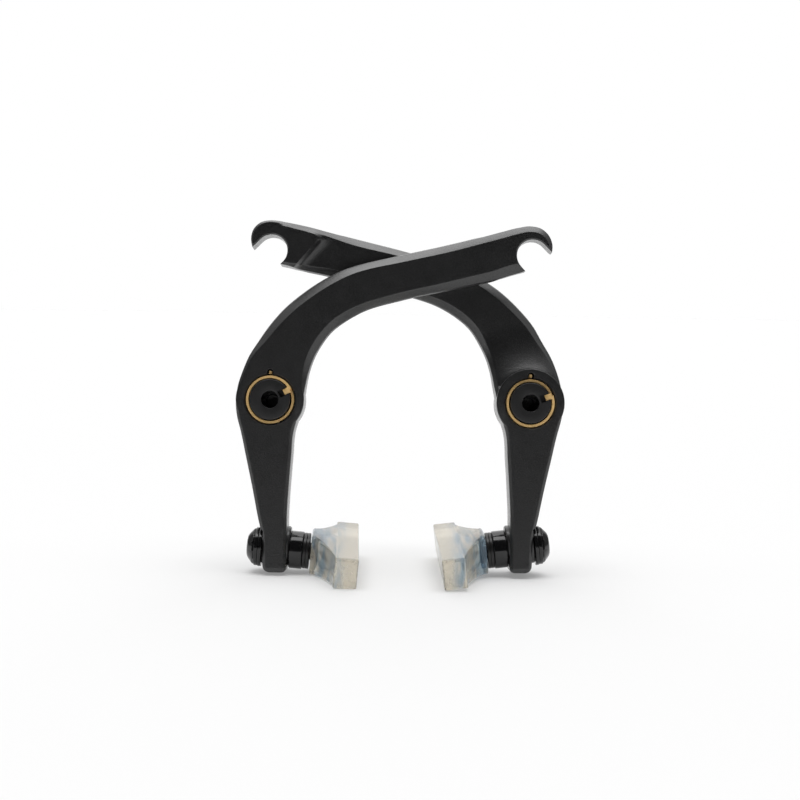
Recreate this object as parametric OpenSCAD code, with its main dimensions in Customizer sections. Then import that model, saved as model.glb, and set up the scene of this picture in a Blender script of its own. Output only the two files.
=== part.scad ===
// Centre-pull rim brake with two crossed arms, spring-loaded hubs and clear pads.
// X runs left to right, Y away from the bicycle frame, Z up. The origin lies midway between
// the two pivot axes, on the faces of the hubs that bolt against the frame.

/* [Pivots] */
// Distance between the two pivot axes
pivot_spacing = 90; // [88:0.5:96]
// Radius of the hub disc that the spring coils around
hub_r = 7; // [6.6:0.1:7.2]
// Radius of the journal that the arm turns on
journal_r = 5; // [4.6:0.1:5.2]
// Radius of the hole for the frame's threaded post
post_hole_r = 3; // [2.5:0.1:3.2]
// Depth of the hole for the frame's threaded post
post_hole_depth = 13; // [10:0.5:13.4]
// Radial clearance between journal and bushing
running_gap = 0.06; // [0.02:0.01:0.1]

/* [Arms] */
// Depth of an arm at its boss and along its leg
arm_depth = 13.5; // [12.5:0.5:14]
// Radius of the round boss on the pivot
boss_r = 11.8; // [11.4:0.1:12.4]
// Radius of the notch that holds the cable end
hook_r = 5.5; // [4.5:0.1:5.6]
// How far the arm's front face stands back from the hub's face
arm_front = 0.5; // [0.3:0.1:0.8]

/* [Springs] */
// Number of turns in each torsion spring
spring_turns = 4.4; // [3:0.1:4.6]
// Radial thickness of the spring wire
wire_t = 0.93; // [0.7:0.01:1]
// Width of the spring wire along the pivot axis
wire_w = 1.15; // [0.8:0.05:1.2]
// Direction of the left spring's inner tang, in degrees above +X
left_tang_angle = 28; // [0:1:60]
// Direction of the right spring's inner tang, in degrees above +X
right_tang_angle = 20; // [0:1:60]

/* [Pads] */
// Length of the braking block
pad_length = 54; // [46:1:56]
// Height of the braking face
pad_height = 10.4; // [9:0.1:12]
// Tilt of both pads about their studs, near end down
pad_pitch = 10; // [0:1:15]
// Toe angle of the left pad: above zero its far end stands closer to the wheel
left_toe = -2.3; // [-3:0.1:3]
// Toe angle of the right pad
right_toe = 0.2; // [-3:0.1:3]
// Depth of the left stud below the pivot axes
left_stud_drop = 51.6; // [50.5:0.1:52]
// Depth of the right stud below the pivot axes
right_stud_drop = 50.1; // [49.5:0.1:51]
// Slope of the left stud down towards the wheel
left_tilt = 4.5; // [0:0.5:5]
// Slope of the right stud down towards the wheel
right_tilt = 7; // [4:0.5:7.5]
// How far a stud can move up its slot from rest
slot_up = 2; // [1:0.5:2.5]
// How far a stud can move down its slot from rest
slot_down = 1.5; // [0.5:0.5:1.5]

/* [Hidden] */
$fn = 64;

alloy_black = [0.13, 0.13, 0.13];
gloss_black = [0.05, 0.05, 0.05];
satin_black = [0.09, 0.09, 0.09];
brass = [0.80, 0.62, 0.36];
bronze = [0.62, 0.46, 0.28];
steel = [0.62, 0.62, 0.64];
clear_urethane = [0.80, 0.78, 0.72];

arm_back = arm_front + arm_depth;
boss_lip = 0.1;                     // the turned boss faces stand this far proud of the forging
cavity_r = 8.6;                     // pocket around the spring
cavity_floor = 7.35;
bushing_r = 6.2;
hub_length = 19;
shoulder_y = 14.4;                  // hub shoulder that the thrust washer rests on
stub_r = 4;
screw_hole_r = 2.5;
washer_t = 1;
nut_t = 4;
nut_across_flats = 14;
anchor_z = 9.4;                     // hole in the boss for the spring's outer end
anchor_r = 1.15;
coil_r = 7.85;
coil_front = 0.55;
coil_pitch = 1.25;
tang_w = 2.1;
tang_r = 5.3;
stud_y = arm_front + arm_depth / 2;
stud_r = 2.95;
slot_r = 3.3;

// Stack of the pad hardware, measured along the stud from the pivot axis towards the wheel
tilt_u = 2.1;                       // the stud slopes about this point, in the middle of the leg
leg_outer_face = -2.2;
leg_inner_face = 7.2;
leg_seat_r = 6;
spacer_start = 7.3;
spacer_end = 11.9;
washer_start = 12;
inner_washer_t = 1.05;
washer_r = 6.5;
pad_start = 14.6;
pad_face = 31;
pad_thickness = 8;
nut_start = -5;
nut_end = -7.7;
outer_washer_t = 1.3;
head_r = 5.6;
head_start = 16;
head_end = 18.5;
stud_end = -6.9;
bedding = 0.03;                     // clearance between the stud and the urethane cast round it

// Each row of an arm: outer edge (u, z), inner edge (u, z), depth and bevel width.
// u runs from the arm's own pivot axis towards the wheel, z up.
// foot is the lowest height of the leg and flare moves its outer edge outwards.
function leg_rows(foot, flare) = [
    [0.2, foot, 5.2, foot, 10.5, 1.6],
    [-0.8, foot + 0.9, 6.1, foot + 0.9, 12.5, 1.4],
    [-1.1 - flare, foot + 2.8, 6.4, foot + 2.8, arm_depth, 1.2],
    [-1.3 - flare, -53.5, 6.4, -53.5, arm_depth, 1.2],
    [-1.7 - flare, -47, 6.4, -47, arm_depth, 1.2],
    [-3.2 - flare, -40, 6.4, -40, arm_depth, 1.2],
    [-5.2 - flare, -30, 6.9, -30, arm_depth, 1.2],
    [-7.4 - flare, -20, 7.6, -20, arm_depth, 1.2],
    [-9.5 - flare, -10.5, 8.4, -10.5, arm_depth, 1],
    [-10.7 - flare, -6, 9.7, -6, arm_depth, 1],
    [-11.5, 0, 11.3, 0, arm_depth, 1]
];
left_leg_rows = leg_rows(-59.8, 0.6);
right_leg_rows = leg_rows(-58.9, 0);
front_arch_rows = [
    [-10.8, 5, 12.1, 4.5, 13.2, 1.2],
    [-9.2, 10, 13, 9, 12.2, 1.6],
    [-7.1, 15.2, 14.6, 14, 10.6, 2],
    [-4.2, 20.3, 17, 18.7, 8.2, 2.4],
    [-0.3, 25.9, 20.6, 23.6, 6.8, 2.8],
    [4.4, 31.3, 25, 27.2, 6.5, 3.1],
    [10, 36.2, 30.9, 30.7, 6.4, 3.3],
    [24, 44.9, 44.7, 35.1, 6.4, 3.3],
    [44, 50.4, 60, 38.6, 6.4, 3.3],
    [60, 54.1, 69, 40.7, 6.4, 3.3],
    [74, 57.7, 78, 42.7, 6.5, 3.3],
    [80, 59.4, 82, 44, 7.4, 2.6],
    [85, 60.7, 85, 44.9, 7.4, 2.2],
    [89.5, 61.3, 86.4, 45.3, 7.4, 2],
    [93.2, 60.4, 87.2, 45.6, 7.4, 1.8],
    [95.9, 57.8, 87.7, 45.7, 7.4, 1.5],
    [97, 54.1, 88.2, 46, 7.4, 1.2],
    [96.7, 51.9, 88.6, 46.3, 7.4, 1]
];
rear_arch_rows = [
    [-10.9, 5, 12.2, 4.5, 13.2, 1.2],
    [-9.4, 11, 13.2, 10, 12.2, 1.6],
    [-7.6, 15.9, 14.6, 15, 10.6, 2],
    [-4.3, 22, 17.2, 20.6, 8, 2.4],
    [-0.9, 27.8, 20.6, 25.8, 6.6, 2.8],
    [3.7, 33.5, 25, 29.7, 6.5, 3.1],
    [9.8, 39.2, 31.1, 33.4, 6.4, 3.3],
    [24.9, 47.4, 46, 38.2, 6.4, 3.3],
    [44, 52.9, 62, 41.9, 6.4, 3.3],
    [60, 56.7, 70, 43.9, 6.4, 3.3],
    [73, 59.8, 78.5, 45.7, 6.6, 3.3],
    [79, 61.2, 82.5, 46.5, 9, 2.4],
    [85, 62.3, 85, 47, 9, 2],
    [90.8, 62.9, 86.6, 47.2, 9, 1.8],
    [94.8, 61.8, 87.4, 47.4, 9, 1.6],
    [97.2, 59.1, 88, 47.7, 9, 1.4],
    [97.8, 55.9, 88.6, 48.1, 9, 1.2],
    [97.4, 53.6, 89, 48.5, 9, 1]
];
front_hook = [90.1, 51];
rear_hook = [90.5, 52.2];
steps_per_row = 3;

// Smooth curve through rows p[i] and p[i + 1] at t from 0 to 1
function blend(a, b, c, d, t) =
    b + (c - a) * t / 2
    + (a - 2.5 * b + 2 * c - d / 2) * t * t
    + (b * 1.5 - a / 2 - c * 1.5 + d / 2) * t * t * t;

function smooth_rows(p, steps) = [
    for (i = [0 : len(p) - 2], k = [0 : steps - 1])
        blend(p[max(i - 1, 0)], p[i], p[i + 1], p[min(i + 2, len(p) - 1)], k / steps),
    p[len(p) - 1]
];

// Eight corners of an arm's section: y runs from front to front + depth
function arm_ring(row, front) =
    let (outer = [row[0], row[1]], inner = [row[2], row[3]])
    let (across = (inner - outer) / norm(inner - outer), bevel = row[5], rise = 0.72 * row[5])
    let (a = outer + across * bevel, b = inner - across * bevel, back = front + row[4])
    [
        [a[0], front, a[1]],
        [outer[0], front + rise, outer[1]],
        [outer[0], back - rise, outer[1]],
        [a[0], back, a[1]],
        [b[0], back, b[1]],
        [inner[0], back - rise, inner[1]],
        [inner[0], front + rise, inner[1]],
        [b[0], front, b[1]]
    ];

// A closed skin over rings of n points each
module skin(rings) {
    n = len(rings[0]);
    last = len(rings) - 1;
    points = [for (ring = rings, p = ring) p];
    sides = [
        for (i = [0 : last - 1], j = [0 : n - 1])
            [i * n + j, i * n + (j + 1) % n, (i + 1) * n + (j + 1) % n, (i + 1) * n + j]
    ];
    start_cap = [for (j = [n - 1 : -1 : 0]) j];
    end_cap = [for (j = [0 : n - 1]) last * n + j];
    polyhedron(points = points, faces = concat([start_cap], sides, [end_cap]), convexity = 10);
}

// A cylinder along Y from y0 to y1 at (u, z)
module along_y(r, y0, y1, u = 0, z = 0) {
    translate([u, y1, z])
        rotate([90, 0, 0])
            cylinder(r = r, h = y1 - y0);
}

// A cylinder along the stud from u0 to u1, z above its axis
module along_stud(r, u0, u1, z = 0) {
    translate([min(u0, u1), 0, z])
        rotate([0, 90, 0])
            cylinder(r = r, h = abs(u1 - u0));
}

module ring_on_stud(r, hole_r, u0, u1) {
    difference() {
        along_stud(r, u0, u1);
        along_stud(hole_r, min(u0, u1) - 1, max(u0, u1) + 1);
    }
}

// Places a left-side part on its pivot, or mirrors it for the right side
module on_side(side) {
    if (side < 0) {
        translate([-pivot_spacing / 2, 0, 0])
            children();
    } else {
        translate([pivot_spacing / 2, 0, 0])
            mirror([1, 0, 0])
                children();
    }
}

// Moves a part drawn along X onto the sloping axis of one side's stud
module at_stud(side) {
    translate([tilt_u, stud_y, side < 0 ? -left_stud_drop : -right_stud_drop])
        rotate([0, side < 0 ? left_tilt : right_tilt, 0])
            translate([-tilt_u, 0, 0])
                children();
}

module on_stud(side) {
    on_side(side)
        at_stud(side)
            children();
}

// The foot stands back from both faces, the beam of the front arm from the rear one and the
// beam of the rear arm from the front one
module arm(side) {
    legs = side < 0 ? left_leg_rows : right_leg_rows;
    arch = side < 0 ? front_arch_rows : rear_arch_rows;
    rows = smooth_rows(concat(legs, arch), steps_per_row);
    rings = [
        for (row = rows)
            let (recess = arm_depth - row[4])
            arm_ring(row, arm_front + recess * (row[1] < -50 ? 0.5 : side > 0 ? 1 : 0))
    ];
    difference() {
        union() {
            skin(rings);
            along_y(boss_r, arm_front - boss_lip, arm_back + boss_lip);
            at_stud(side)
                leg_seat();
        }
        along_y(cavity_r, -1, cavity_floor);
        along_y(bushing_r, 0, arm_back + 1);
        along_y(anchor_r, -1, cavity_floor, 0, anchor_z);
        hook_notch(side < 0 ? front_hook : rear_hook);
        at_stud(side)
            stud_slot();
        at_stud(side)
            washer_room();
    }
}

// Round seat for the cable end, open downwards and outwards at 45 degrees
module hook_notch(hook) {
    along_y(hook_r, -1, arm_back + 1, hook[0], hook[1]);
    half_width = hook_r - 0.03;
    translate([hook[0], -1, hook[1]])
        rotate([0, 45, 0])
            translate([0, 0, -half_width])
                cube([20, arm_back + 2, 2 * half_width]);
}

module stud_slot() {
    along_stud(slot_r, -20, 20, slot_up);
    along_stud(slot_r, -20, 20, -slot_down);
    half_width = slot_r - 0.03;
    translate([-20, -half_width, -slot_down])
        cube([40, 2 * half_width, slot_up + slot_down]);
}

// Forged seats for the washers and the spacer, square to the stud
module leg_seat() {
    length = leg_inner_face - leg_outer_face;
    half_width = leg_seat_r - 0.03;
    along_stud(leg_seat_r, leg_outer_face, leg_inner_face);
    along_stud(leg_seat_r, leg_outer_face, leg_inner_face, slot_up);
    translate([leg_outer_face, -half_width, 0])
        cube([length, 2 * half_width, slot_up]);
}

// Clears the leg's outer edge away from the washers over their whole travel
module washer_room() {
    reach = washer_r + 0.7;
    translate([leg_outer_face - 8, -arm_depth, -slot_down - reach])
        cube([8, 2 * arm_depth, slot_down + reach + slot_up + reach]);
}

module left_arm() {
    color(alloy_black)
        on_side(-1)
            arm(-1);
}

module right_arm() {
    color(alloy_black)
        on_side(1)
            arm(1);
}

module bushing(side) {
    color(bronze)
        on_side(side)
            difference() {
                along_y(bushing_r, cavity_floor + 0.15, arm_back);
                along_y(journal_r + running_gap, 0, arm_back + 1);
            }
}

// Torsion spring: flat wire coiled around the hub, an inner tang at the front and
// an outer end that runs forward in the arm's anchor hole
module spring(side, tang_angle) {
    own_angle = side < 0 ? tang_angle : 180 - tang_angle;
    turn = (90 - own_angle) / 360 + floor(spring_turns);
    count = 96;
    rings = [
        for (i = [0 : count])
            let (a = own_angle + 360 * turn * i / count, y = coil_front + coil_pitch * turn * i / count)
            let (r0 = coil_r - wire_t / 2, r1 = coil_r + wire_t / 2)
            [
                [r0 * cos(a), y, r0 * sin(a)],
                [r0 * cos(a), y + wire_w, r0 * sin(a)],
                [r1 * cos(a), y + wire_w, r1 * sin(a)],
                [r1 * cos(a), y, r1 * sin(a)]
            ]
    ];
    last_y = coil_front + coil_pitch * turn;
    color(brass)
        on_side(side)
            union() {
                skin(rings);
                rotate([0, -own_angle, 0])
                    translate([tang_r, coil_front, -tang_w / 2])
                        cube([coil_r - tang_r, wire_w, tang_w]);
                translate([-wire_t / 2, last_y + 0.1, coil_r - 0.3])
                    cube([wire_t, wire_w - 0.2, anchor_z - coil_r]);
                along_y(wire_t * 0.6, 1.8, last_y + wire_w - 0.1, 0, anchor_z);
            }
}

module pivot_hub(side, tang_angle) {
    own_angle = side < 0 ? tang_angle : 180 - tang_angle;
    slot_w = tang_w + 0.3;
    color(satin_black)
        on_side(side)
            difference() {
                union() {
                    along_y(hub_r, 0, cavity_floor - 0.15);
                    along_y(journal_r, 1, shoulder_y);
                    along_y(stub_r, 1, hub_length);
                }
                along_y(post_hole_r, -1, post_hole_depth);
                along_y(screw_hole_r, 1, hub_length + 1);
                rotate([0, -own_angle, 0])
                    translate([post_hole_r + 0.6, -1, -slot_w / 2])
                        cube([hub_r, 3.4, slot_w]);
            }
}

module thrust_washer(side) {
    color(steel)
        on_side(side)
            difference() {
                along_y(8, shoulder_y, shoulder_y + washer_t);
                along_y(stub_r, 0, hub_length);
            }
}

module tension_nut(side) {
    start = shoulder_y + washer_t;
    color(gloss_black)
        on_side(side)
            difference() {
                translate([0, start + nut_t, 0])
                    rotate([90, 0, 0])
                        cylinder(r = nut_across_flats / 2 / cos(30), h = nut_t, $fn = 6);
                along_y(stub_r, 0, hub_length + 5);
            }
}

module retaining_screw(side) {
    seat = shoulder_y + washer_t + nut_t;
    color(gloss_black)
        on_side(side)
            difference() {
                union() {
                    along_y(screw_hole_r - 0.03, post_hole_depth + 0.4, seat + 0.5);
                    along_y(5.4, seat, seat + 1.6);
                    along_y(4.6, seat, seat + 2.6);
                }
                translate([0, seat + 3, 0])
                    rotate([90, 0, 0])
                        cylinder(r = 2.3, h = 2.2, $fn = 6);
            }
}

module pad_spacer(side) {
    color(gloss_black)
        on_stud(side)
            ring_on_stud(6.55, stud_r + 0.08, spacer_start, spacer_end);
}

module inner_washers(side) {
    color(satin_black)
        on_stud(side)
            for (i = [0, 1])
                let (start = washer_start + i * (inner_washer_t + 0.05))
                    ring_on_stud(6.25, stud_r + 0.08, start, start + inner_washer_t);
}

module outer_washers(side) {
    color(gloss_black)
        on_stud(side)
            for (i = [0, 1])
                let (start = leg_outer_face - 0.1 - i * (outer_washer_t + 0.02))
                    ring_on_stud(washer_r, stud_r + 0.08, start, start - outer_washer_t);
}

module cap_nut(side) {
    color(gloss_black)
        on_stud(side)
            difference() {
                union() {
                    translate([nut_end + 1, 0, 0])
                        rotate([0, 90, 0])
                            cylinder(r = 5.8, h = nut_start - nut_end - 1, $fn = 6);
                    along_stud(4.6, nut_end, nut_start);
                }
                along_stud(stud_r, stud_end, nut_start + 1);
            }
}

module pad_stud(side) {
    color(steel)
        on_stud(side)
            union() {
                along_stud(stud_r, stud_end, head_start + 0.5);
                along_stud(head_r, head_start, head_end);
            }
}

// A flat plate square to the stud: length along Y, height along Z
module slab(u0, u1, length, height) {
    translate([u0, -length / 2, -height / 2])
        cube([u1 - u0, length, height]);
}

module brake_pad(side, toe) {
    color(clear_urethane)
        on_stud(side)
            difference() {
                rotate([pad_pitch, 0, -toe])
                    union() {
                        slab(pad_face - pad_thickness, pad_face, pad_length, pad_height);
                        hull() {
                            slab(pad_start, pad_start + 2.5, 15, 14);
                            slab(pad_face - pad_thickness - 0.2, pad_face - pad_thickness + 1, 38, pad_height - 0.4);
                        }
                    }
                along_stud(stud_r + bedding, 0, head_start + 0.2);
                along_stud(head_r + bedding, head_start - bedding, head_end + bedding);
            }
}

left_arm();
right_arm();
bushing(-1);  // left_bushing
bushing(1);  // right_bushing
spring(-1, left_tang_angle);  // left_spring
spring(1, right_tang_angle);  // right_spring
pivot_hub(-1, left_tang_angle);  // left_pivot_hub
pivot_hub(1, right_tang_angle);  // right_pivot_hub
thrust_washer(-1);  // left_thrust_washer
thrust_washer(1);  // right_thrust_washer
tension_nut(-1);  // left_tension_nut
tension_nut(1);  // right_tension_nut
retaining_screw(-1);  // left_retaining_screw
retaining_screw(1);  // right_retaining_screw
pad_spacer(-1);  // left_pad_spacer
pad_spacer(1);  // right_pad_spacer
inner_washers(-1);  // left_inner_washers
inner_washers(1);  // right_inner_washers
outer_washers(-1);  // left_outer_washers
outer_washers(1);  // right_outer_washers
pad_stud(-1);  // left_pad_stud
pad_stud(1);  // right_pad_stud
cap_nut(-1);  // left_cap_nut
cap_nut(1);  // right_cap_nut
brake_pad(-1, left_toe);  // left_brake_pad
brake_pad(1, right_toe);  // right_brake_pad
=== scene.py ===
import bmesh
import bpy
from math import cos, hypot, pi, radians, sin, sqrt, tan
from mathutils import Matrix, Vector


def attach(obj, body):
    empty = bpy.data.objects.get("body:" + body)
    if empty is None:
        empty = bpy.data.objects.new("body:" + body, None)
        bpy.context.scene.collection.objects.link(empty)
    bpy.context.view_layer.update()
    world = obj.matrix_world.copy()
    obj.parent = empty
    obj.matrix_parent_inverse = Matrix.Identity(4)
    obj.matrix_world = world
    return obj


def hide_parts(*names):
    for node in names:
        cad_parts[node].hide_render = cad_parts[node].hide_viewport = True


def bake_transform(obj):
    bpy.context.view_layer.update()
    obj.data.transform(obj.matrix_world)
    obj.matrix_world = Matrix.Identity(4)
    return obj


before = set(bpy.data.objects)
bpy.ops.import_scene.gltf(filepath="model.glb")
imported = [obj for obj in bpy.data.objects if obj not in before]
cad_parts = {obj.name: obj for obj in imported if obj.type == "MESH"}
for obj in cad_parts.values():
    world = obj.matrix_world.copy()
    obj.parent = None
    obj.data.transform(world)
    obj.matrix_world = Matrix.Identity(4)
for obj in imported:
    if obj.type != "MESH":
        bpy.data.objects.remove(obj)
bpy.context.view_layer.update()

# Lengths in this script are in millimetres and turn into metres when a mesh is made.
# They repeat the sizes of the CAD nodes that the pieces stand for.
MM = 0.001
SIGN = {"left": -1, "right": 1}
HALF_SPAN = 45                      # half the distance between the two pivot axes

# Arms. The left arm's flush face is the front one, the right arm's is the back one.
ARM_FRONT, ARM_BACK, ARM_DEPTH = 0.5, 14.0, 13.5
BOSS_R = 11.8
BOSS_SUNK = 0.02                    # the boss stands this little below the arm's faces
BEAM_DEPTH = 6.4
KEEP = 2.9                          # depth next to each face that the scoop moves without squeezing
FOOT = {"left": -59.8, "right": -58.9}
FOOT_FLARE = {"left": 0.6, "right": 0.0}
HOOK = {"left": (90.1, 51.0), "right": (90.5, 52.2)}
HOOK_R = 5.5
HOOK_DEPTH = {"left": 7.4, "right": 9.0}
HOOK_OPENING = radians(45)          # how far below the horizontal the hooks open

# Pad studs. The drop below the pivot is measured at TILT_U, inside the leg, as each stud tilts.
STUD_Y = ARM_FRONT + ARM_DEPTH / 2
TILT_U = 2.1
STUD_DROP = {"left": 51.6, "right": 50.1}
TILT = {"left": radians(4.5), "right": radians(7)}
STUD_HOLE_R = 3.03
SEAT_START, SEAT_END, SEAT_R = -2.2, 7.2, 6.0
SLOT_UP, SLOT_DOWN = 2.0, 1.5

# Pads, measured along the tilted stud.
TOE = {"left": radians(-2.3), "right": radians(0.2)}
PAD_PITCH = radians(10)
PAD_START, PAD_FACE, PAD_LENGTH, PAD_HEIGHT, PAD_THICKNESS = 14.6, 31.0, 54.0, 10.4, 8.0
PAD_END_R = 1.1
WAIST_LENGTH, WAIST_HEIGHT = 7.5, 7.0   # half sizes of the waist where it meets the washers

# Springs.
COIL_R, WIRE_T, WIRE_W, COIL_PITCH, COIL_FRONT = 7.85, 0.93, 1.15, 1.25, 0.55
COIL_TURNS, COIL_STEPS = 4, 480
WIRE_EDGE = 0.2
ANCHOR_Z, ANCHOR_R = 9.4, 1.15
TANG = {"left": radians(28), "right": radians(160)}
TANG_SLOT = 1.2                     # half the width of the tang's slot in the hub

# Hubs and pivot hardware, from the frame side to the far side.
THRUST_START, NUT_START, NUT_END, SCREW_END = 14.4, 15.4, 19.4, 22
JOURNAL_R, POST_R = 5.0, 3.0
NUT_APOTHEM, KEY_R = 7.0, 2.3

# Stage and camera.
FLOOR_Z, FLOOR_RISE, FLOOR_REACH = -60.95, radians(7.3), 3000
CAMERA_AT, CAMERA_LENS, CAMERA_ROLL = (-3.3, -467, -15.8), 61, radians(0.81)


# ---------------------------------------------------------------- places
def at_arm(side):
    """Maps (u towards the wheel, y, z) from one side's pivot axis into the shared frame."""
    return lambda u, y, z: Vector((SIGN[side] * (HALF_SPAN - u), y, z)) * MM


def at_stud(side):
    """Maps (along the stud, across it, above it) into the shared frame."""
    slope, place = TILT[side], at_arm(side)

    def put(u, v, h):
        along = u - TILT_U
        return place(
            TILT_U + along * cos(slope) + h * sin(slope),
            STUD_Y + v,
            -STUD_DROP[side] - along * sin(slope) + h * cos(slope),
        )

    return put


# ---------------------------------------------------------------- meshes
def tidy_mesh(mesh, sharp):
    """Joins doubled points, turns the faces outwards and shades all but the sharp edges smooth."""
    work = bmesh.new()
    work.from_mesh(mesh)
    bmesh.ops.remove_doubles(work, verts=work.verts, dist=2e-6)
    bmesh.ops.recalc_face_normals(work, faces=work.faces)
    work.to_mesh(mesh)
    work.free()
    mesh.shade_smooth()
    mesh.set_sharp_from_angle(angle=radians(sharp))


def piece(name, shape, place, material=None, body=None, stands_for=(), sharp=32):
    """Makes an object from points and faces, with its material, its body and the nodes it stands for."""
    verts, faces = shape
    mesh = bpy.data.meshes.new(name)
    mesh.from_pydata([place(*v) for v in verts], [], faces)
    tidy_mesh(mesh, sharp)
    made = bpy.data.objects.new(name, mesh)
    bpy.context.scene.collection.objects.link(made)
    if material:
        mesh.materials.append(material)
    if stands_for:
        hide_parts(*stands_for)
    if body:
        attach(made, body)
    return made


def combine(target, tools, operation, sharp=32):
    """Adds the tools to the target or cuts them out of it, then drops them."""
    for tool in tools:
        step = target.modifiers.new(operation, "BOOLEAN")
        step.operation = operation
        step.solver = "EXACT"
        step.object = tool
    graph = bpy.context.evaluated_depsgraph_get()
    result = bpy.data.meshes.new_from_object(target.evaluated_get(graph))
    target.modifiers.clear()
    target.data = result
    for tool in tools:
        bpy.data.objects.remove(tool)
    tidy_mesh(result, sharp)
    return target


def paint(made, material):
    """Gives a combined piece its one material."""
    made.data.materials.clear()
    made.data.materials.append(material)


def skin(rings, loop=False):
    """Quads over rings of equal length, capped at both ends unless the rings close on themselves."""
    n, count = len(rings[0]), len(rings)
    faces = []
    for i in range(count if loop else count - 1):
        k = (i + 1) % count
        faces += [(i * n + j, i * n + (j + 1) % n, k * n + (j + 1) % n, k * n + j) for j in range(n)]
    if not loop:
        faces += [tuple(range(n)), tuple(range((count - 1) * n, count * n))]
    return [p for ring in rings for p in ring], faces


def rounded(corners, steps=4):
    """Rounds the corners (x, y, radius) of a closed outline."""
    out = []
    for i, (x, y, r) in enumerate(corners):
        here = Vector((x, y))
        before = Vector(corners[i - 1][:2]) - here
        after = Vector(corners[(i + 1) % len(corners)][:2]) - here
        if r <= 0 or before.length < 1e-6 or after.length < 1e-6:
            out.append((x, y))
            continue
        half = before.angle(after) / 2
        reach = min(r / tan(half), 0.45 * before.length, 0.45 * after.length)
        a, b = here + before.normalized() * reach, here + after.normalized() * reach
        for k in range(steps + 1):
            t = k / steps
            p = a * (1 - t) ** 2 + here * 2 * t * (1 - t) + b * t ** 2
            out.append((p.x, p.y))
    return out


def turned(outline, along="y", count=96, apothem=None, centre=(0, 0)):
    """Turns a closed outline of (station, radius) about an axis; an apothem trims it to a hexagon."""
    rings = []
    for i in range(count):
        a = 2 * pi * i / count
        flat = apothem / cos((a + pi / 6) % (pi / 3) - pi / 6) if apothem else 1e9
        ring = []
        for s, r in outline:
            r = min(r, flat)
            p, q = centre[0] + r * cos(a), centre[1] + r * sin(a)
            ring.append((p, s, q) if along == "y" else (s, p, q))
        rings.append(ring)
    return skin(rings, loop=True)


def collar(s0, s1, hole, radius, edge=0.3):
    """Outline of a washer or sleeve from s0 to s1 with rounded rims."""
    return rounded([(s0, hole, edge / 2), (s1, hole, edge / 2), (s1, radius, edge), (s0, radius, edge)])


def plug(s0, s1, radius, edge=0.3):
    """Outline of a solid disc or shaft from s0 to s1 with rounded rims."""
    return rounded([(s0, 0, 0), (s1, 0, 0), (s1, radius, edge), (s0, radius, edge)])


# ---------------------------------------------------------------- finishes
def finish(name, colour, rough, metallic=0.0, grain=1500, spread=0.25, bump=0.1, coat=0.0, speckle=0.1,
           **inputs):
    """A procedural finish: two noises vary its tone, its roughness and its surface."""
    made = bpy.data.materials.new(name)
    made.use_nodes = True
    nodes, links = made.node_tree.nodes, made.node_tree.links
    shader = nodes["Principled BSDF"]
    shader.inputs["Metallic"].default_value = metallic
    shader.inputs["Coat Weight"].default_value = coat
    for key, value in inputs.items():
        shader.inputs[key.replace("_", " ")].default_value = value
    where = nodes.new("ShaderNodeTexCoord")
    fine = nodes.new("ShaderNodeTexNoise")
    fine.inputs["Scale"].default_value = grain
    fine.inputs["Detail"].default_value = 3
    broad = nodes.new("ShaderNodeTexNoise")
    broad.inputs["Scale"].default_value = grain / 14
    broad.inputs["Detail"].default_value = 4
    links.new(where.outputs["Object"], fine.inputs["Vector"])
    links.new(where.outputs["Object"], broad.inputs["Vector"])
    tone = nodes.new("ShaderNodeMapRange")
    tone.inputs["To Min"].default_value = 1 - spread
    tone.inputs["To Max"].default_value = 1 + spread
    links.new(broad.outputs["Fac"], tone.inputs["Value"])
    grit = nodes.new("ShaderNodeMapRange")
    grit.inputs["From Min"].default_value = 0.3
    grit.inputs["From Max"].default_value = 0.7
    grit.inputs["To Min"].default_value = 1 - speckle
    grit.inputs["To Max"].default_value = 1 + speckle
    links.new(fine.outputs["Fac"], grit.inputs["Value"])
    both = nodes.new("ShaderNodeMath")
    both.operation = "MULTIPLY"
    links.new(tone.outputs["Result"], both.inputs[0])
    links.new(grit.outputs["Result"], both.inputs[1])
    shade = nodes.new("ShaderNodeVectorMath")
    shade.operation = "SCALE"
    shade.inputs[0].default_value = colour
    links.new(both.outputs["Value"], shade.inputs["Scale"])
    links.new(shade.outputs["Vector"], shader.inputs["Base Color"])
    sheen = nodes.new("ShaderNodeMapRange")
    sheen.inputs["To Min"].default_value = rough * 0.8
    sheen.inputs["To Max"].default_value = rough * 1.2
    links.new(broad.outputs["Fac"], sheen.inputs["Value"])
    links.new(sheen.outputs["Result"], shader.inputs["Roughness"])
    relief = nodes.new("ShaderNodeBump")
    relief.inputs["Strength"].default_value = bump
    relief.inputs["Distance"].default_value = 0.00006
    links.new(fine.outputs["Fac"], relief.inputs["Height"])
    links.new(relief.outputs["Normal"], shader.inputs["Normal"])
    if coat:
        links.new(relief.outputs["Normal"], shader.inputs["Coat Normal"])
        shader.inputs["Coat Roughness"].default_value = 0.2
    return made


powder = finish(
    "arm_powder_coat", (0.0115, 0.0115, 0.012), 0.42, grain=2400, spread=0.22, bump=1.0, coat=0.7,
    speckle=0.5,
)
anodised = finish("hub_anodised", (0.019, 0.019, 0.0195), 0.38, grain=2200, spread=0.15, bump=0.25)
gold = finish("spring_gold", (1.0, 0.66, 0.27), 0.42, 0.05, grain=1800, spread=0.1, bump=0.12)
gloss = finish(
    "hardware_gloss_black", (0.006, 0.006, 0.0065), 0.13, grain=1500, spread=0.2, bump=0.04, coat=0.15,
)
satin = finish("washer_satin_black", (0.012, 0.012, 0.012), 0.3, grain=1900, spread=0.2, bump=0.1)
bronze = finish("bushing_bronze", (0.42, 0.27, 0.12), 0.34, 1.0, grain=1700, spread=0.15, bump=0.15)
steel = finish("zinc_steel", (0.55, 0.55, 0.57), 0.3, 1.0, grain=1600, spread=0.12, bump=0.12)
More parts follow.
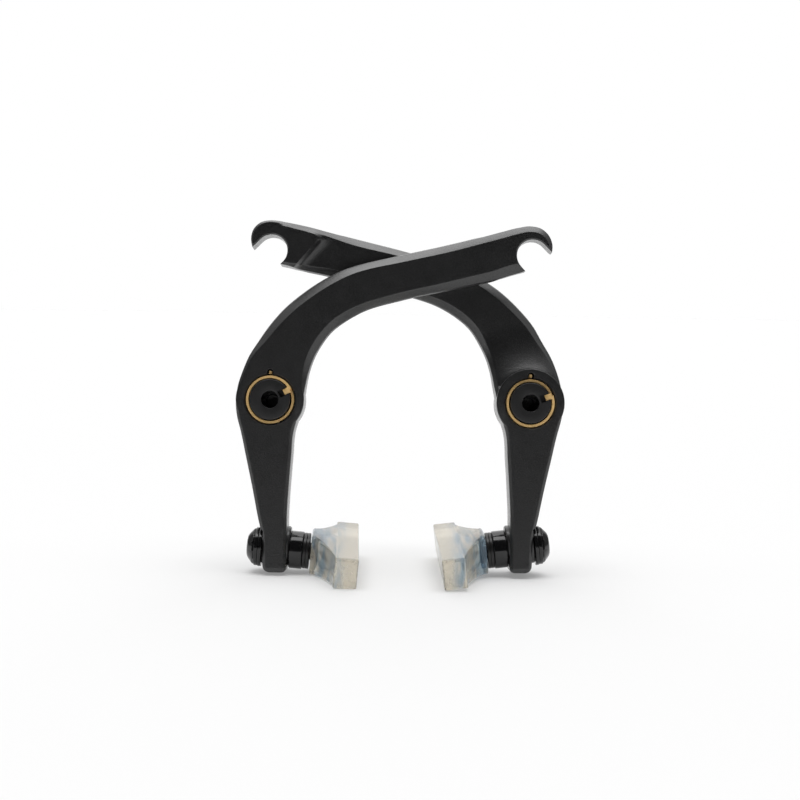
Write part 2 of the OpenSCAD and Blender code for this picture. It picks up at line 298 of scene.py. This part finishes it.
insert = finish("stud_head_dark", (0.035, 0.037, 0.04), 0.35, grain=1600, spread=0.2, bump=0.1)
urethane = finish(
    "pad_urethane", (0.78, 0.72, 0.6), 0.16, grain=600, spread=0.08, bump=0.3,
    Transmission_Weight=0.7, IOR=1.4,
)


def add_streaks(made, other, plain_until, full_from):
    """Mixes a second tone into a finish along stretched, swirling noise, away from the middle plane."""
    nodes, links = made.node_tree.nodes, made.node_tree.links
    shader = nodes["Principled BSDF"]
    plain = shader.inputs["Base Color"].links[0].from_socket
    where = nodes.new("ShaderNodeTexCoord")
    stretch = nodes.new("ShaderNodeMapping")
    stretch.inputs["Scale"].default_value = (260, 30, 70)
    stretch.inputs["Rotation"].default_value = (0.2, 0.5, 0.3)
    swirl = nodes.new("ShaderNodeTexNoise")
    swirl.inputs["Scale"].default_value = 1
    swirl.inputs["Detail"].default_value = 5
    swirl.inputs["Distortion"].default_value = 1.6
    band = nodes.new("ShaderNodeMapRange")
    band.inputs["From Min"].default_value = 0.4
    band.inputs["From Max"].default_value = 0.6
    axes = nodes.new("ShaderNodeSeparateXYZ")
    outward = nodes.new("ShaderNodeMath")
    outward.operation = "ABSOLUTE"
    fade = nodes.new("ShaderNodeMapRange")
    fade.inputs["From Min"].default_value = plain_until
    fade.inputs["From Max"].default_value = full_from
    strength = nodes.new("ShaderNodeMath")
    strength.operation = "MULTIPLY"
    mix = nodes.new("ShaderNodeMix")
    mix.data_type = "RGBA"
    mix.inputs["B"].default_value = (*other, 1)
    links.new(where.outputs["Object"], axes.inputs["Vector"])
    links.new(axes.outputs["X"], outward.inputs[0])
    links.new(outward.outputs["Value"], fade.inputs["Value"])
    links.new(fade.outputs["Result"], strength.inputs[0])
    links.new(where.outputs["Object"], stretch.inputs["Vector"])
    links.new(stretch.outputs["Vector"], swirl.inputs["Vector"])
    links.new(swirl.outputs["Fac"], band.inputs["Value"])
    links.new(band.outputs["Result"], strength.inputs[1])
    links.new(strength.outputs["Value"], mix.inputs["Factor"])
    links.new(plain, mix.inputs["A"])
    links.new(mix.outputs["Result"], shader.inputs["Base Color"])


add_streaks(urethane, (0.25, 0.38, 0.5), plain_until=0.0175, full_from=0.021)


# ---------------------------------------------------------------- arms
# Each row of an arm: outer edge (u, z), inner edge (u, z), outer bevel, inner bevel. The flank runs
# from the foot up to the pivot and the arch from the pivot to the tip of the hook.
FLANK_ROWS = [
    (-1.3, -53.5, 6.4, -53.5, 1.1, 1.1),
    (-1.7, -47, 6.4, -47, 1.1, 1.1),
    (-3.2, -40, 6.4, -40, 1.1, 1.1),
    (-5.2, -30, 6.9, -30, 1.1, 1.1),
    (-7.4, -20, 7.6, -20, 1.1, 1.1),
    (-9.5, -10.5, 8.4, -10.5, 1.0, 1.0),
    (-10.7, -6, 9.7, -6, 1.0, 1.0),
]
ARCH_ROWS = {
    "left": [
        (-11.8, 0, 11.3, 0, 1.0, 1.0),
        (-11.1, 5, 12.1, 4.5, 1.0, 1.3),
        (-9.5, 10, 13, 9, 1.1, 1.9),
        (-7.3, 15.3, 14.6, 14, 1.5, 2.4),
        (-4.2, 20.3, 17, 18.7, 2.6, 2.7),
        (-0.3, 25.9, 20.6, 23.6, 3.2, 2.9),
        (4.4, 31.3, 25, 27.2, 3.5, 3.5),
        (10, 36.2, 30.9, 30.7, 3.7, 3.6),
        (24, 44.9, 44.7, 35.1, 3.6, 3.5),
        (44, 50.4, 60, 38.6, 3.4, 3.2),
        (60, 54.1, 69, 40.7, 2.8, 2.8),
        (74, 57.7, 78, 42.7, 2.45, 3.0),
        (80, 59.4, 82, 44, 2.5, 3.2),
        (85, 60.7, 85, 44.9, 2.4, 3.0),
        (89.5, 61.3, 86.4, 45.3, 2.3, 2.4),
        (93.2, 60.4, 87.2, 45.6, 2.1, 1.8),
        (95.9, 57.8, 87.7, 45.7, 1.9, 1.5),
        (97, 54.1, 88.2, 46, 1.8, 1.2),
        (96.7, 51.9, 88.6, 46.3, 1.7, 1.0),
        (95.8, 49.6, 89, 46.8, 1.2, 0.8),
    ],
    "right": [
        (-11.5, 0, 11.3, 0, 1.0, 1.0),
        (-10.9, 5, 12.2, 4.5, 1.0, 1.2),
        (-9.4, 11, 13.2, 10, 1.1, 1.4),
        (-7.6, 15.9, 14.6, 15, 1.5, 1.8),
        (-4.3, 22, 17.2, 20.6, 2.2, 2.2),
        (-0.9, 27.8, 20.6, 25.8, 2.8, 2.7),
        (3.9, 33.3, 25, 29.7, 3.2, 3.2),
        (10, 38.9, 31.1, 33.4, 3.4, 3.4),
        (24.9, 47.4, 46, 38.2, 3.4, 3.4),
        (44, 52.9, 62, 41.9, 3.2, 3.0),
        (60, 56.7, 71, 44.1, 2.8, 2.6),
        (71.7, 59.5, 82.8, 46.4, 1.9, 1.6),
        (79, 61.2, 84.6, 46.9, 1.3, 1.0),
        (85, 62.3, 86, 47.2, 1.0, 0.9),
        (90.8, 62.9, 87, 47.4, 0.9, 0.8),
        (94.8, 61.8, 87.8, 47.6, 0.9, 0.8),
        (97.2, 59.1, 88.4, 47.9, 0.9, 0.8),
        (97.8, 55.9, 88.9, 48.3, 0.9, 0.8),
        (97.4, 53.6, 89.3, 48.8, 0.9, 0.8),
        (96.4, 51.2, 89.8, 49.4, 0.9, 0.8),
    ],
}
PLATE_START = (71.7, 59.5)          # outer end of the step up to the rear arm's hook plate
FOOT_OUTER_R, FOOT_INNER_R, FOOT_FACE_R = 2.6, 1.8, 1.5
FOOT_STATIONS = (0.0, 0.05, 0.2, 0.45, 0.8, 1.25, 1.9, 2.6, 3.4)
ROW_SPACING = 0.5
SCOOP_STEP, SCOOP_RUN = 2.1, 17     # drop beside the boss, and length of the slope beyond it
COVE = 4.2                          # length of the hollow before the rear arm's hook plate
PLATE_R = 3.0                       # corner radius of the hook plate's step
BEVEL_LEAN = 0.72                   # how deep a bevel runs for each millimetre across


def corner_back(r, h):
    """How far a corner of radius r stands back at the height h above its lowest point."""
    return r - sqrt(max(0.0, r * r - (r - min(h, r)) ** 2))


def smooth_path(rows, spacing):
    """Rows at an even spacing on a smooth curve through the given rows, each with its distance.

    The slope at each row is the mean of the slopes on its two sides, and the nearer side counts more.
    """
    mids = [Vector(((r[0] + r[2]) / 2, (r[1] + r[3]) / 2)) for r in rows]
    gaps = [(b - a).length for a, b in zip(mids, mids[1:])]
    places = [0.0]
    for gap in gaps:
        places.append(places[-1] + gap)
    slopes = []
    for i in range(len(rows)):
        lo, hi = max(i - 1, 0), min(i + 1, len(rows) - 1)
        before, after = (gaps[i - 1] if i else gaps[0]), (gaps[i] if i < len(gaps) else gaps[-1])
        left = [(rows[i][c] - rows[lo][c]) / before for c in range(6)]
        right = [(rows[hi][c] - rows[i][c]) / after for c in range(6)]
        if i == 0:
            left = right
        if i == len(rows) - 1:
            right = left
        slopes.append([(a * after + b * before) / (before + after) for a, b in zip(left, right)])
    out = []
    for i, gap in enumerate(gaps):
        steps = max(2, round(gap / spacing))
        for k in range(steps + (i == len(gaps) - 1)):
            t = k / steps
            a, b = 2 * t ** 3 - 3 * t ** 2 + 1, t ** 3 - 2 * t ** 2 + t
            c, d = -2 * t ** 3 + 3 * t ** 2, t ** 3 - t ** 2
            row = [
                a * p + b * gap * m + c * q + d * gap * n
                for p, m, q, n in zip(rows[i], slopes[i], rows[i + 1], slopes[i + 1])
            ]
            out.append((places[i] + t * gap, row))
    return out


def scoop(u, z):
    """Depth that the forging falls away beyond the boss towards the beam."""
    beyond = hypot(u, z) - BOSS_R
    if z <= 0:
        return 0.0
    full = ARM_DEPTH - BEAM_DEPTH
    under_boss = 4
    fade_in = 6
    near = min(1.0, max(0.0, (beyond + under_boss) / under_boss))
    far = min(1.0, max(0.0, beyond / SCOOP_RUN))
    fall = SCOOP_STEP * (3 * near ** 2 - 2 * near ** 3) + (full - SCOOP_STEP) * (1 - (1 - far) ** 2)
    return fall * min(1.0, z / fade_in)


def hook_rise(side, q):
    """Extra depth of the beam at the distance q past the start of the hook plate."""
    full = HOOK_DEPTH[side] - BEAM_DEPTH
    edge = 0.8
    ramp = 6
    if q >= 0:
        return full
    if q > -edge:
        return full + q
    if side == "left":
        return max(0.0, (full - edge) * (1 + (q + edge) / ramp))
    reach = min(1.0, max(0.0, (q + COVE + edge) / COVE))
    return (full - edge) * (1 - sqrt(max(0.0, 1 - reach ** 2)))


def plate_edge(q, s):
    """Distance inside the rear arm's hook plate: its step crosses the beam, turns a rounded corner
    and runs on just below the beam's upper edge until it fades out."""
    rim, straight, fading = 2.3, 7, 0.3
    side_gap = s - rim + fading * max(0.0, q - straight)
    if q < PLATE_R and side_gap < PLATE_R:
        return PLATE_R - hypot(PLATE_R - q, PLATE_R - side_gap)
    return min(q, side_gap)


def arm_section(row, depth, start, side, bulging, q=None):
    """One closed ring of an arm: depth runs from its flush face, start is the foot's rounding, bulging
    crowns the two side walls and q is how far the ring lies past the start of the hook plate."""
    outer, inner = Vector(row[:2]), Vector(row[2:4])
    width = (inner - outer).length
    across = (inner - outer) / width
    a, b = row[4], row[5]
    face_r, side_r = 0.5, 0.6
    low_a, low_b = start + BEVEL_LEAN * a, start + BEVEL_LEAN * b
    high_a, high_b = depth - BEVEL_LEAN * a, depth - BEVEL_LEAN * b
    corners = [
        (a, start, face_r), (0, low_a, side_r), (0, high_a, side_r), (a, depth, face_r),
        (width - b, depth, face_r), (width, high_b, side_r),
        (width, low_b, side_r), (width - b, start, face_r),
    ]
    corner_steps = 3
    outline = rounded(corners, corner_steps)
    per_corner = corner_steps + 1
    splits = {3: 18, 7: 18, 1: 4, 5: 4}
    crowns = {1: -0.3, 5: 0.3}
    ring = []
    for i, (s, e) in enumerate(outline):
        ring.append((s, e))
        ends_corner = i % per_corner == per_corner - 1
        corner = i // per_corner
        parts = splits.get(corner, 1)
        if ends_corner and parts > 1:
            s2, e2 = outline[(i + 1) % len(outline)]
            for k in range(1, parts):
                t = k / parts
                bulge = crowns.get(corner, 0) * sin(pi * t) * bulging
                ring.append((s + (s2 - s) * t + bulge, e + (e2 - e) * t))
    points = []
    for s, e in ring:
        p = outer + across * s
        if q is not None:
            rise = hook_rise(side, q if side == "left" else plate_edge(q, s))
            fall = scoop(p.x, p.y) - rise
            e -= fall * min(1.0, max(0.0, (e - KEEP) / (ARM_DEPTH - 2 * KEEP)))
        y = ARM_FRONT + e if side == "left" else ARM_BACK - e
        points.append((p.x, y, p.y))
    return points


def arm_body(side):
    """The forging: a rounded foot, then rings up the leg, round the pivot and along the beam."""
    foot, flare = FOOT[side], FOOT_FLARE[side]
    first = FLANK_ROWS[0]
    rings = []
    for h in FOOT_STATIONS:
        back = corner_back(FOOT_FACE_R, h)
        bevel = max(0.35, min(1.1, 0.4 * (h + 1)))
        row = (
            first[0] - flare + corner_back(FOOT_OUTER_R, h), foot + h,
            first[2] - corner_back(FOOT_INNER_R, h), foot + h, bevel, bevel,
        )
        rings.append(arm_section(row, ARM_DEPTH - back - BOSS_SUNK, back, side, 0))
    rows = [(r[0] - flare, r[1], r[2], r[3], r[4], r[5]) for r in FLANK_ROWS] + ARCH_ROWS[side]
    path = smooth_path(rows, ROW_SPACING)
    plate = min(path, key=lambda item: hypot(item[1][0] - PLATE_START[0], item[1][1] - PLATE_START[1]))[0]
    later, crown_fade = 4, 6
    if side == "left":
        plate += later
    for distance, row in path:
        fade = min(1.0, max(0.0, (plate - distance) / crown_fade))
        rings.append(arm_section(row, ARM_DEPTH, 0.0, side, fade, distance - plate))
    return skin(rings)


def notch_tool(side):
    """Cuts the cable seat: a round end that opens outwards and down, with chamfered rims."""
    u, z = HOOK[side]
    if side == "left":
        near, far = ARM_FRONT, ARM_FRONT + HOOK_DEPTH[side]
    else:
        near, far = ARM_BACK - HOOK_DEPTH[side], ARM_BACK
    rim, past, opening = 0.45, 1, 20
    steps = 48
    sideways = HOOK_OPENING
    rings = []
    for y, grow in ((near - past, past + rim), (near + rim, 0), (far - rim, 0), (far + past, past + rim)):
        r = HOOK_R + grow
        ring = []
        for k in range(steps + 1):
            a = sideways + pi * k / steps
            ring.append((u + r * cos(a), y, z + r * sin(a)))
        du, dz = opening * cos(-HOOK_OPENING), opening * sin(-HOOK_OPENING)
        for end in (-1, 1):
            ring.append((u + du + end * r * cos(sideways), y, z + dz + end * r * sin(sideways)))
        rings.append(ring)
    return skin(rings)


def capsule_along_stud(u0, u1, r, up, down, rim0, rim1):
    """A bar along the stud with a tall round-ended section; the rims widen or narrow its two ends."""
    steps = 64
    rings = []
    for u, grow in ((u0, rim0), (u0 + abs(rim0), 0), (u1 - abs(rim1), 0), (u1, rim1)):
        ring = []
        for k in range(steps):
            a = 2 * pi * (k + 0.5) / steps
            shift = up if sin(a) > 0 else -down
            ring.append((u, (r + grow) * cos(a), shift + (r + grow) * sin(a)))
        rings.append(ring)
    return skin(rings)


for side in ("left", "right"):
    arm_at, stud_at = at_arm(side), at_stud(side)
    body = piece(f"{side}_arm_forging", arm_body(side), arm_at)
    boss_line = plug(ARM_FRONT + BOSS_SUNK, ARM_BACK - BOSS_SUNK, BOSS_R, 0.45)
    boss = piece("boss", turned(boss_line, count=128), arm_at)
    seat_bar = capsule_along_stud(SEAT_START, SEAT_END, SEAT_R, SLOT_UP, 0.0, -0.4, -0.4)
    seat = piece("seat", seat_bar, stud_at)
    combine(body, [boss, seat], "UNION")
    cavity = rounded([(-2, 0, 0), (7.35, 0, 0), (7.35, 8.6, 0.3), (1.0, 8.6, 0.2), (-1, 10.6, 0)])
    through = [(-2, 0), (16, 0), (16, 8.2), (13.5, 6.2), (-2, 6.2)]
    anchor = [(-1, 0), (7.4, 0), (7.4, ANCHOR_R), (0.7, ANCHOR_R), (-1, ANCHOR_R + 1.7)]
    tools = [
        piece("cavity", turned(cavity, count=128), arm_at),
        piece("bore", turned(through), arm_at),
        piece("anchor", turned(anchor, count=32, centre=(0, ANCHOR_Z)), arm_at),
        piece("notch", notch_tool(side), arm_at),
        piece("slot", capsule_along_stud(-12, 12, 3.3, SLOT_UP, SLOT_DOWN, 0, 0), stud_at),
        piece("room", capsule_along_stud(-12, SEAT_START, 7.6, SLOT_UP, SLOT_DOWN, 0, 0), stud_at),
    ]
    combine(body, tools, "DIFFERENCE", 28)
    paint(body, powder)
    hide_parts(f"{side}_arm")
    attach(body, f"{side}_arm")


# ---------------------------------------------------------------- springs
def wire_ring(a, y, mid_r, thick, wide):
    """A rounded section of the flat wire at the angle a about the pivot axis."""
    section = rounded(
        [(mid_r - thick / 2, y, WIRE_EDGE), (mid_r + thick / 2, y, WIRE_EDGE),
         (mid_r + thick / 2, y + wide, WIRE_EDGE), (mid_r - thick / 2, y + wide, WIRE_EDGE)], 3)
    return [(r * cos(a), s, r * sin(a)) for r, s in section]


def bar(points, thick, wide):
    """A rounded bar through points (u, y, z); thick lies along Y, wide across it."""
    rings = []
    for i, p in enumerate(points):
        here = Vector(p)
        ahead = Vector(points[min(i + 1, len(points) - 1)]) - Vector(points[max(i - 1, 0)])
        up = Vector((0, 1, 0)) if abs(ahead.normalized().y) < 0.8 else Vector((1, 0, 0))
        across = ahead.cross(up).normalized()
        up = across.cross(ahead).normalized()
        section = rounded([(-wide / 2, -thick / 2, WIRE_EDGE), (wide / 2, -thick / 2, WIRE_EDGE),
                           (wide / 2, thick / 2, WIRE_EDGE), (-wide / 2, thick / 2, WIRE_EDGE)], 3)
        rings.append([tuple(here + across * s + up * t) for s, t in section])
    return skin(rings)


for side in ("left", "right"):
    arm_at = at_arm(side)
    start = TANG[side]
    turns = (pi / 2 - start) / (2 * pi) + COIL_TURNS
    rings = []
    for i in range(COIL_STEPS + 1):
        t = i / COIL_STEPS
        a = start + 2 * pi * turns * t
        rings.append(wire_ring(a, COIL_FRONT + COIL_PITCH * turns * t, COIL_R, WIRE_T, WIRE_W))
    coil = piece(f"{side}_spring_coil", skin(rings), arm_at, gold)
    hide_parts(f"{side}_spring")
    last_y = COIL_FRONT + COIL_PITCH * turns + WIRE_W / 2
    tuple(arm_at(0, 1.6, 0))
    tuple(arm_at(0, last_y - 0.6, 0))
    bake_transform(coil)
    mid = COIL_FRONT + WIRE_W / 2
    tang = [(r * cos(start), mid, r * sin(start)) for r in (5.4, 6.2, 7.0, 7.7)]
    piece(f"{side}_spring_tang", bar(tang, WIRE_W, 2.05), arm_at, gold, "root")
    tail = [(0, last_y, 7.9), (0, last_y, 8.5), (0, last_y - 0.1, 9.0)]
    tail += [(0, last_y - 0.5, 9.3), (0, last_y - 1.0, ANCHOR_Z), (0, 3.6, ANCHOR_Z), (0, 1.7, ANCHOR_Z)]
    piece(f"{side}_spring_tail", bar(tail, WIRE_T, WIRE_T * 1.1), arm_at, gold, f"{side}_arm")


# ---------------------------------------------------------------- hubs and pivot hardware
for side in ("left", "right"):
    arm_at = at_arm(side)
    hub_line = rounded([
        (0, POST_R, 0.25), (0, 7.0, 0.35), (7.2, 7.0, 0.2), (7.2, JOURNAL_R, 0),
        (THRUST_START, JOURNAL_R, 0.2), (THRUST_START, 4.0, 0), (19, 4.0, 0.4), (19, 2.5, 0),
        (13, 2.5, 0), (13, POST_R, 0)], 3)
    hub = piece(f"{side}_hub_body", turned(hub_line, count=128), arm_at)
    c, s = cos(TANG[side]), sin(TANG[side])
    slot_ring = [(3.6, -TANG_SLOT), (9, -TANG_SLOT), (9, TANG_SLOT), (3.6, TANG_SLOT)]
    slot_rings = [[(r * c - w * s, y, r * s + w * c) for r, w in slot_ring] for y in (-1, 2.4)]
    combine(hub, [piece("tang_slot", skin(slot_rings), arm_at)], "DIFFERENCE")
    paint(hub, anodised)
    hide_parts(f"{side}_pivot_hub")
    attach(hub, "root")
    made = piece(f"{side}_bushing_sleeve", turned(collar(7.55, ARM_BACK, 5.06, 6.2, 0.25)), arm_at, bronze,
                 f"{side}_arm", [f"{side}_bushing"])
    thrust = collar(THRUST_START, NUT_START, 4.0, 8.0, 0.2)
    made = piece(f"{side}_thrust_ring", turned(thrust), arm_at, steel, "root", [f"{side}_thrust_washer"])
    nut_line = [(NUT_START, 4.0), (NUT_START, 7.2), (15.6, 7.7), (16.0, 8.3), (18.8, 8.3), (19.0, 7.9),
                (19.2, 7.6), (NUT_END, 7.0), (NUT_END, 4.4), (19.1, 4.0)]
    made = piece(f"{side}_tension_hex", turned(nut_line, count=120, apothem=NUT_APOTHEM), arm_at, gloss,
                 "root", [f"{side}_tension_nut"])
    socket = KEY_R * cos(pi / 6)
    cap = rounded([(13.4, 0, 0), (13.4, 2.47, 0.3), (NUT_END, 2.47, 0), (NUT_END, 5.4, 0.25),
                   (21, 5.4, 0.4), (21.2, 4.6, 0.1), (SCREW_END, 4.4, 0.5), (SCREW_END, 0, 0)])
    screw = piece(f"{side}_retaining_cap", turned(cap), arm_at)
    key = piece("key", turned([(19.9, 0), (23, 0), (23, 4), (19.9, 4)], count=120, apothem=socket), arm_at)
    combine(screw, [key], "DIFFERENCE")
    paint(screw, gloss)
    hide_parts(f"{side}_retaining_screw")
    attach(screw, "root")


# ---------------------------------------------------------------- pad hardware and pads
def pad_turn(side):
    """Turns a pad about its stud and toes it towards the wheel."""
    return Matrix.Rotation(-TOE[side], 3, "Z") @ Matrix.Rotation(PAD_PITCH, 3, "X")


def pad_stations(half):
    """Places along the pad's length, each with how far its ring draws in; the ends are quarter rounds."""
    steps, middle, inset = 6, 24, 2
    out = []
    for k in range(steps + 1):
        a = pi / 2 * k / steps
        out.append((-half + PAD_END_R * (1 - cos(a)), PAD_END_R * (1 - sin(a))))
    out += [(-half + inset + (2 * half - 2 * inset) * k / middle, 0) for k in range(middle + 1)]
    out += [(-v, back) for v, back in reversed(out[:steps + 1])]
    return out


def pad_block(side):
    """The braking block: rings along the pad's length, rounded at its ends and edges."""
    turn = pad_turn(side)
    half, tall, back = PAD_LENGTH / 2, PAD_HEIGHT / 2, PAD_FACE - PAD_THICKNESS
    edge = 0.7
    rings = []
    for v, shrink in pad_stations(half):
        face_u, back_u, top = PAD_FACE - shrink * 0.5, back + shrink * 0.5, tall - shrink
        corners = [(face_u, -top, edge), (face_u, top, edge), (back_u, top, edge), (back_u, -top, edge)]
        rings.append([tuple(turn @ Vector((u, v, h))) for u, h in rounded(corners, 4)])
    return skin(rings)


def pad_waist(side):
    """The waist that flares from the stud's boss to the block, softened where it meets the washers."""
    turn = pad_turn(side)
    steps, soft_edge, into_block = 14, 0.5, 0.8
    u0, u1 = PAD_START, PAD_FACE - PAD_THICKNESS + into_block
    block_length, block_height = PAD_LENGTH / 2 - 1.2, PAD_HEIGHT / 2 - 0.4
    rings = []
    for k in range(steps + 1):
        t = k / steps
        flare = max(0.0, (t - 0.1) / 0.9) ** 1.5
        soft = soft_edge if k == 0 else 0.0
        length = WAIST_LENGTH + (block_length - WAIST_LENGTH) * flare - soft
        tall = WAIST_HEIGHT + (block_height - WAIST_HEIGHT) * t ** 1.3 - soft
        u = u0 + (soft_edge if k == 1 else (u1 - u0) * t)
        r = 2.6 - 1.6 * t
        corners = [(-length, -tall, r), (length, -tall, r), (length, tall, r), (-length, tall, r)]
        rings.append([tuple(turn @ Vector((u, v, h))) for v, h in rounded(corners, 6)])
    return skin(rings)


for side in ("left", "right"):
    stud_at = at_stud(side)
    carrier, pad = f"{side}_pad_carrier", f"{side}_pad"
    made = piece(f"{side}_spacer_sleeve", turned(collar(7.3, 11.9, STUD_HOLE_R, 6.55, 0.45), "u"),
                 stud_at, gloss, carrier, [f"{side}_pad_spacer"])
    for i in range(2):
        s0 = 12 + i * 1.1
        inner = collar(s0, s0 + 1.05, STUD_HOLE_R, 6.25, 0.2)
        made = piece(f"{side}_inner_washer_{i + 1}", turned(inner, "u"), stud_at, satin, carrier,
                     [f"{side}_inner_washers"])
        s1 = -2.3 - i * 1.32
        outer = collar(s1 - 1.3, s1, STUD_HOLE_R, 6.9 - 0.2 * i, 0.3)
        made = piece(f"{side}_outer_washer_{i + 1}", turned(outer, "u"), stud_at, gloss, carrier,
                     [f"{side}_outer_washers"])
    dome_line = [(-5.0, 2.6), (-5.0, 6.0), (-5.1, 6.2), (-5.4, 6.2), (-5.7, 5.95), (-6.9, 4.6),
                 (-7.35, 4.0), (-7.6, 3.4), (-7.7, 2.4), (-7.7, 0), (-6.9, 0), (-6.9, 2.6)]
    made = piece(f"{side}_cap_nut_dome", turned(dome_line, "u", 120, 5.8), stud_at, gloss, pad,
                 [f"{side}_cap_nut"])
    stud_line = rounded([(-6.88, 0, 0), (-6.88, 2.55, 0.3), (-2, 2.55, 0), (-2, 2.95, 0.1), (16, 2.95, 0.3),
                         (16, 5.6, 0.3), (18.5, 5.6, 0.3), (18.5, 0, 0)], 3)
    made = piece(f"{side}_stud_and_head", turned(stud_line, "u"), stud_at, insert, pad,
                 [f"{side}_pad_stud"])
    block = piece(f"{side}_pad_body", pad_block(side), stud_at)
    combine(block, [piece("waist", pad_waist(side), stud_at)], "UNION", 40)
    bore = rounded([(0, 0, 0), (0, 3.0, 0), (15.97, 3.0, 0), (15.97, 5.63, 0), (18.53, 5.63, 0),
                    (18.53, 0, 0)])
    combine(block, [piece("stud_bore", turned(bore, "u"), stud_at)], "DIFFERENCE", 40)
    paint(block, urethane)
    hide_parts(f"{side}_brake_pad")
    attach(block, pad)


# ---------------------------------------------------------------- floor, light and camera
floor_mesh = bpy.data.meshes.new("floor")
floor_corners = [(x * FLOOR_REACH, y * FLOOR_REACH) for x, y in ((-1, -1), (1, -1), (1, 1), (-1, 1))]
edge = [(x, y, FLOOR_Z + y * tan(FLOOR_RISE)) for x, y in floor_corners]
floor_mesh.from_pydata([Vector(p) * MM for p in edge], [], [(0, 1, 2, 3)])
floor = bpy.data.objects.new("floor", floor_mesh)
bpy.context.scene.collection.objects.link(floor)
white = finish(
    "floor_white", (0.66, 0.66, 0.66), 0.9, grain=60, spread=0.01, bump=0.0, speckle=0.0,
    Specular_IOR_Level=0.1, Emission_Color=(1, 1, 1, 1), Emission_Strength=0.24,
)
floor_mesh.materials.append(white)

# The studio is dark in front, brightest overhead and bright behind. It dims to both sides, and the
# camera itself sees plain white.
world = bpy.data.worlds.new("studio")
bpy.context.scene.world = world
world.use_nodes = True
nodes, links = world.node_tree.nodes, world.node_tree.links
where = nodes.new("ShaderNodeTexCoord")
split = nodes.new("ShaderNodeSeparateXYZ")
links.new(where.outputs["Generated"], split.inputs[0])
angle = nodes.new("ShaderNodeMath")
angle.operation = "ARCTAN2"
flip = nodes.new("ShaderNodeMath")
flip.operation = "MULTIPLY"
flip.inputs[1].default_value = -1
links.new(split.outputs["Y"], flip.inputs[0])
links.new(split.outputs["Z"], angle.inputs[0])
links.new(flip.outputs[0], angle.inputs[1])
scaled = nodes.new("ShaderNodeMapRange")
scaled.inputs["From Min"].default_value = 0
scaled.inputs["From Max"].default_value = pi
links.new(angle.outputs[0], scaled.inputs["Value"])
ramp = nodes.new("ShaderNodeValToRGB")
stops = [(0.0, 0.02), (0.34, 0.03), (0.37, 3.4), (0.41, 2.6), (0.5, 3.4), (0.6, 1.6), (0.75, 1.0),
         (1.0, 0.9)]
for i, (at, value) in enumerate(stops):
    stop = ramp.color_ramp.elements[i] if i < 2 else ramp.color_ramp.elements.new(at)
    stop.position = at
    stop.color = (value, value, value, 1)
links.new(scaled.outputs["Result"], ramp.inputs["Fac"])
sideways = nodes.new("ShaderNodeMath")
sideways.operation = "ABSOLUTE"
links.new(split.outputs["X"], sideways.inputs[0])
narrow = nodes.new("ShaderNodeMapRange")
narrow.interpolation_type = "SMOOTHSTEP"
narrow.inputs["From Min"].default_value = 0.3
narrow.inputs["From Max"].default_value = 0.65
narrow.inputs["To Min"].default_value = 1.25
narrow.inputs["To Max"].default_value = 0.2
links.new(sideways.outputs[0], narrow.inputs["Value"])
dimmed = nodes.new("ShaderNodeVectorMath")
dimmed.operation = "SCALE"
links.new(ramp.outputs["Color"], dimmed.inputs[0])
links.new(narrow.outputs["Result"], dimmed.inputs["Scale"])
seen = nodes.new("ShaderNodeLightPath")
pick = nodes.new("ShaderNodeMix")
pick.data_type = "RGBA"
pick.inputs["B"].default_value = (1, 1, 1, 1)
links.new(seen.outputs["Is Camera Ray"], pick.inputs["Factor"])
links.new(dimmed.outputs["Vector"], pick.inputs["A"])
links.new(pick.outputs["Result"], nodes["Background"].inputs["Color"])

lens = bpy.data.cameras.new("camera")
lens.sensor_width = 36
lens.lens = CAMERA_LENS
lens.shift_x, lens.shift_y = 0.0125, 0.05875
lens.clip_start, lens.clip_end = 0.01, 20
camera = bpy.data.objects.new("camera", lens)
bpy.context.scene.collection.objects.link(camera)
camera.location = Vector(CAMERA_AT) * MM
camera.rotation_mode = "QUATERNION"
level = Vector((0, 1, 0)).to_track_quat("-Z", "Z")
camera.rotation_quaternion = level @ Matrix.Rotation(CAMERA_ROLL, 4, "Z").to_quaternion()
bpy.context.scene.camera = camera
bpy.context.scene.view_settings.view_transform = "Standard"
